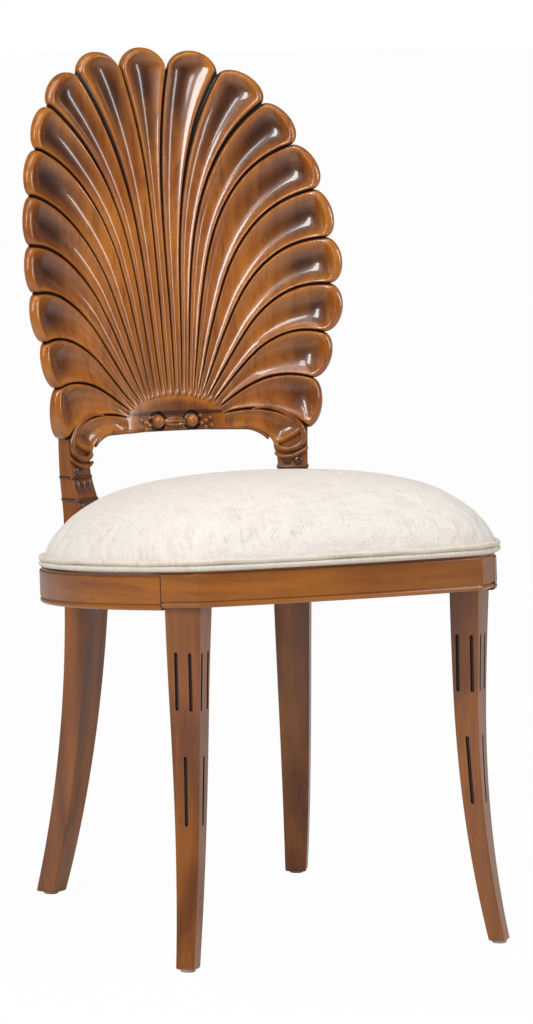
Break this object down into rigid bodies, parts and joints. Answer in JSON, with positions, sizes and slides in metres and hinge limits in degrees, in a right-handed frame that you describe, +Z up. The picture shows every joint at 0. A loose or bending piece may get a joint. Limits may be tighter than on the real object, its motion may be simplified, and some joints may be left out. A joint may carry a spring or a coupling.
{
  "type": "scallop back chair",
  "caption": "Armless side chair with a carved fluted shell back, round upholstered seat with double welt, sabre legs and curved lacquered seat rails.",
  "frame": {"origin": "centre of the chair's box at floor level", "axes": "+Z up, the chair faces -Y, +X to the right of a viewer in front of it"},
  "size_m": [0.5364, 0.6076, 1.0102],
  "materials": {
    "carved_wood": "glossy honey-brown lacquer over carved hardwood, dark antique glaze in the grooves",
    "leg_wood": "satin reddish-honey lacquered hardwood",
    "rail_wood": "satin honey-brown lacquered hardwood",
    "brace_wood": "plain dark-stained hardwood",
    "dowel_wood": "plain beech",
    "seat_plywood": "raw plywood",
    "seat_linen": "off-white plain-weave linen with slubs",
    "welt_linen": "off-white linen-covered piping",
    "foam": "upholstery foam",
    "wadding": "polyester wadding",
    "dust_cloth": "black cambric",
    "screw_steel": "plated steel",
    "staple_steel": "plain steel wire",
    "glide_metal": "nickel-plated steel"
  },
  "bodies": {
    "root": {"back_board_centre": "carved_wood", "back_board_left_inner": "carved_wood", "back_board_left_outer": "carved_wood", "back_board_right_inner": "carved_wood", "back_board_right_outer": "carved_wood", "back_seam_dowels": "dowel_wood", "brace_screws": "screw_steel", "corner_brace_front_left": "brace_wood", "corner_brace_front_right": "brace_wood", "corner_brace_rear_left": "brace_wood", "corner_brace_rear_right": "brace_wood", "cover_staples": "staple_steel", "dust_cover": "dust_cloth", "front_leg_left": "leg_wood", "front_leg_right": "leg_wood", "front_rail": "rail_wood", "glide_front_left": "glide_metal", "glide_front_right": "glide_metal", "glide_rear_left": "glide_metal", "glide_rear_right": "glide_metal", "rail_dowels": "dowel_wood", "rear_leg_left": "leg_wood", "rear_leg_right": "leg_wood", "rear_rail": "rail_wood", "seat_board": "seat_plywood", "seat_cover": "seat_linen", "seat_foam": "foam", "seat_screws": "screw_steel", "seat_wadding": "wadding", "side_rail_left": "rail_wood", "side_rail_right": "rail_wood", "stile_dowels": "dowel_wood", "welt_cord_lower": "welt_linen", "welt_cord_upper": "welt_linen"}
  },
  "joints": []
}
